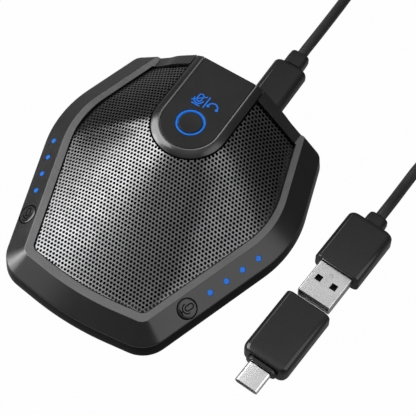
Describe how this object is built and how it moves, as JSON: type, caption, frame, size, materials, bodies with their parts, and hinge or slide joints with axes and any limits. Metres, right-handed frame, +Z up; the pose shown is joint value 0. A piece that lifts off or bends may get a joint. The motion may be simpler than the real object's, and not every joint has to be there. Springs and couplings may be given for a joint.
{
  "type": "conference microphone",
  "caption": "Low hexagonal table microphone with a faceted perforated hood, a mute key in a light ring, side keys, a plug-in cable and a plug adapter",
  "frame": {"origin": "centre of the microphone's footprint, on the table that its feet stand on", "axes": "+Z up, +Y from the wide front towards the back wall with the port, +X to the right seen from the front"},
  "size_m": [0.1339, 0.2055, 0.0263],
  "materials": {
    "base_plastic": "gloss black",
    "satin_housing": "satin dark grey",
    "hood_steel": "perforated, dark plated",
    "dust_cloth": "fine black weave",
    "bezel_plastic": "satin black",
    "panel_plastic": "smoked satin",
    "blue_light": "lit diffuser",
    "clear_lens": "clear moulding",
    "black_rubber": "matte",
    "plated_steel": "nickel plated",
    "weight_steel": "zinc plated",
    "circuit_board": "solder mask",
    "switch_plastic": "moulded",
    "capsule_can": "drawn can",
    "ribbon_film": "amber film",
    "plug_moulding": "satin black",
    "cable_jacket": "smooth jacket",
    "insert_plastic": "moulded white"
  },
  "bodies": {
    "microphone": {"base_shell": "base_plastic", "rim_housing": "satin_housing", "grille": "hood_steel", "dust_mesh": "dust_cloth", "control_bezel": "bezel_plastic", "control_panel": "panel_plastic", "light_ring": "blue_light", "led_bar_left": "blue_light", "led_bar_right": "blue_light", "icon_lens": "clear_lens", "foot_1": "black_rubber", "foot_2": "black_rubber", "foot_3": "black_rubber", "foot_4": "black_rubber", "mic_boot_front": "black_rubber", "mic_boot_left": "black_rubber", "mic_boot_right": "black_rubber", "base_screw_1": "plated_steel", "base_screw_2": "plated_steel", "base_screw_3": "plated_steel", "base_screw_4": "plated_steel", "board_screw_left": "plated_steel", "board_screw_right": "plated_steel", "control_screw_left": "plated_steel", "control_screw_right": "plated_steel", "usb_socket": "plated_steel", "usb_c_shell": "plated_steel", "usb_a_shell": "plated_steel", "weight_plate": "weight_steel", "main_board": "circuit_board", "control_board": "circuit_board", "side_board_left": "circuit_board", "side_board_right": "circuit_board", "mute_switch": "switch_plastic", "mic_switch_left": "switch_plastic", "mic_switch_right": "switch_plastic", "mic_capsule_front": "capsule_can", "mic_capsule_left": "capsule_can", "mic_capsule_right": "capsule_can", "ribbon_cable": "ribbon_film", "usb_c_overmold": "plug_moulding", "usb_c_boot": "plug_moulding", "usb_a_overmold": "plug_moulding", "usb_a_boot": "plug_moulding", "cord_device_run": "cable_jacket", "cord_coil": "cable_jacket", "cord_plug_run": "cable_jacket", "usb_a_insert": "insert_plastic"},
    "adapter": {"adapter_overmold": "plug_moulding", "adapter_socket_shell": "plated_steel", "adapter_socket_tongue": "insert_plastic", "adapter_collar": "plug_moulding", "adapter_c_shell": "plated_steel"},
    "mute": {"mute_key": "panel_plastic"},
    "left_key": {"mic_key_left": "satin_housing"},
    "right_key": {"mic_key_right": "satin_housing"}
  },
  "joints": [
    {"name": "mute_press", "type": "slide", "parent": "microphone", "child": "mute", "axis": [0, 0, -1], "range_m": [0, 0.0005], "stiffness_N_per_m": 400},
    {"name": "left_key_press", "type": "slide", "parent": "microphone", "child": "left_key", "axis": [0.5478, 0.1849, -0.8159], "range_m": [0, 0.0004], "stiffness_N_per_m": 400},
    {"name": "right_key_press", "type": "slide", "parent": "microphone", "child": "right_key", "axis": [-0.5478, 0.1849, -0.8159], "range_m": [0, 0.0004], "stiffness_N_per_m": 400},
    {"name": "adapter_slide", "type": "slide", "parent": "microphone", "child": "adapter", "axis": [0.0628, 0.998, 0], "range_m": [0, 0.0144]}
  ]
}
